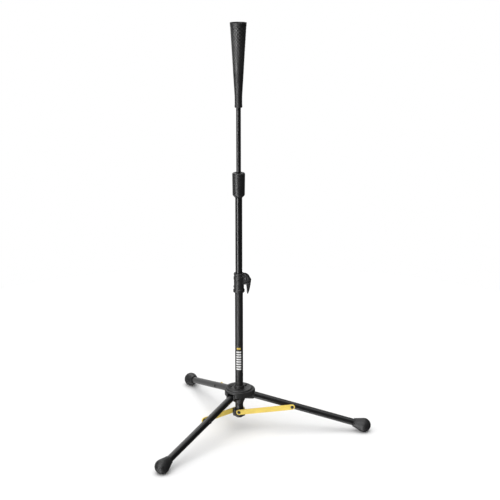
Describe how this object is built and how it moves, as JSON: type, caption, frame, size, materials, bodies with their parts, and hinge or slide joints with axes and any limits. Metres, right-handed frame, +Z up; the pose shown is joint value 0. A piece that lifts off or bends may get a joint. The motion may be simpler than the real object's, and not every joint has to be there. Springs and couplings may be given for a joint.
{
  "type": "batting tee",
  "caption": "Folding batting tee: tripod base with sliding hub and yellow links, telescoping tubes with lever clamp and twist collar, and a rubber ball cone.",
  "frame": {"origin": "the tee's axis at floor level, in the middle of the three feet", "axes": "+Z up along the tubes; +X out along leg 1, over which the clamp's lever hangs"},
  "size_m": [0.5676, 0.6492, 1.136],
  "materials": {
    "tube_black_lower": "gloss black powder coat with a printed mark",
    "tube_black": "gloss black powder coat",
    "leg_black": "gloss black powder coat",
    "link_yellow": "semi-gloss yellow powder coat",
    "cone_rubber": "satin moulded rubber with a knurled band",
    "foot_rubber": "matte rubber",
    "hub_black": "satin moulded nylon",
    "clamp_black": "satin moulded nylon",
    "lever_black": "satin moulded nylon",
    "collar_black": "satin moulded nylon",
    "bracket_black": "satin moulded nylon",
    "moulded_black": "plain moulded plastic",
    "rivet_black": "black oxide rivet",
    "dark_steel": "dark blind rivet",
    "steel": "zinc-plated rivet head"
  },
  "bodies": {
    "base": {"lower_tube": "tube_black_lower", "tube_end_cap": "moulded_black", "clamp_sleeve": "clamp_black", "clamp_rivet": "dark_steel", "pressure_pad": "moulded_black", "lever_pin": "dark_steel", "link_bracket": "bracket_black", "bracket_rivets": "rivet_black"},
    "lever": {"clamp_lever": "lever_black"},
    "middle": {"mid_tube": "tube_black", "mid_guide": "moulded_black", "collet_insert": "moulded_black"},
    "collar": {"twist_collar": "collar_black"},
    "rod": {"upper_rod": "tube_black", "rod_guide": "moulded_black", "rod_plug": "moulded_black", "ball_cone": "cone_rubber"},
    "hub": {"hub": "hub_black", "hub_pins": "steel"},
    "leg_1": {"leg_tube_1": "leg_black", "leg_plug_1": "moulded_black", "leg_foot_1": "foot_rubber", "leg_rivet_1": "rivet_black"},
    "link_1": {"link_bar_1": "link_yellow", "link_rivet_1": "rivet_black"},
    "leg_2": {"leg_tube_2": "leg_black", "leg_plug_2": "moulded_black", "leg_foot_2": "foot_rubber", "leg_rivet_2": "rivet_black"},
    "link_2": {"link_bar_2": "link_yellow", "link_rivet_2": "rivet_black"},
    "leg_3": {"leg_tube_3": "leg_black", "leg_plug_3": "moulded_black", "leg_foot_3": "foot_rubber", "leg_rivet_3": "rivet_black"},
    "link_3": {"link_bar_3": "link_yellow", "link_rivet_3": "rivet_black"}
  },
  "joints": [
    {"name": "hub_slide", "type": "slide", "parent": "base", "child": "hub", "axis": [0, 0, 1], "range_m": [0, 0.2238]},
    {"name": "leg_1_fold", "type": "hinge", "parent": "hub", "child": "leg_1", "pos_m": [0.0268, 0, 0.10577], "axis": [0, 1, 0], "range_deg": [0, 75.11]},
    {"name": "leg_2_fold", "type": "hinge", "parent": "hub", "child": "leg_2", "pos_m": [-0.0134, 0.02321, 0.10577], "axis": [-0.866, -0.5, 0], "range_deg": [0, 75.11]},
    {"name": "leg_3_fold", "type": "hinge", "parent": "hub", "child": "leg_3", "pos_m": [-0.0134, -0.02321, 0.10577], "axis": [0.866, -0.5, 0], "range_deg": [0, 75.11]},
    {"name": "link_1_fold", "type": "hinge", "parent": "base", "child": "link_1", "pos_m": [0, -0.0146, 0.052], "axis": [0, -1, 0], "range_deg": [0, 71.97]},
    {"name": "link_2_fold", "type": "hinge", "parent": "base", "child": "link_2", "pos_m": [0.01264, 0.0073, 0.052], "axis": [0.866, 0.5, 0], "range_deg": [0, 71.97]},
    {"name": "link_3_fold", "type": "hinge", "parent": "base", "child": "link_3", "pos_m": [-0.01264, 0.0073, 0.052], "axis": [-0.866, 0.5, 0], "range_deg": [0, 71.97]},
    {"name": "middle_slide", "type": "slide", "parent": "base", "child": "middle", "axis": [0, 0, 1], "range_m": [-0.21, 0]},
    {"name": "clamp_lever_open", "type": "hinge", "parent": "base", "child": "lever", "pos_m": [0.02, 0, 0.445], "axis": [0, -1, 0], "range_deg": [0, 105]},
    {"name": "collar_twist", "type": "hinge", "parent": "middle", "child": "collar", "pos_m": [0, 0, 0.7], "axis": [0, 0, 1], "range_deg": [0, 120]},
    {"name": "rod_slide", "type": "slide", "parent": "middle", "child": "rod", "axis": [0, 0, 1], "range_m": [-0.17, 0]}
  ],
  "couplings": [
    {"joint": "leg_1_fold", "follows": "hub_slide", "rad_per_m": 5.8568},
    {"joint": "leg_2_fold", "follows": "hub_slide", "rad_per_m": 5.8568},
    {"joint": "leg_3_fold", "follows": "hub_slide", "rad_per_m": 5.8568},
    {"joint": "link_1_fold", "follows": "hub_slide", "rad_per_m": 5.6111},
    {"joint": "link_2_fold", "follows": "hub_slide", "rad_per_m": 5.6111},
    {"joint": "link_3_fold", "follows": "hub_slide", "rad_per_m": 5.6111}
  ]
}
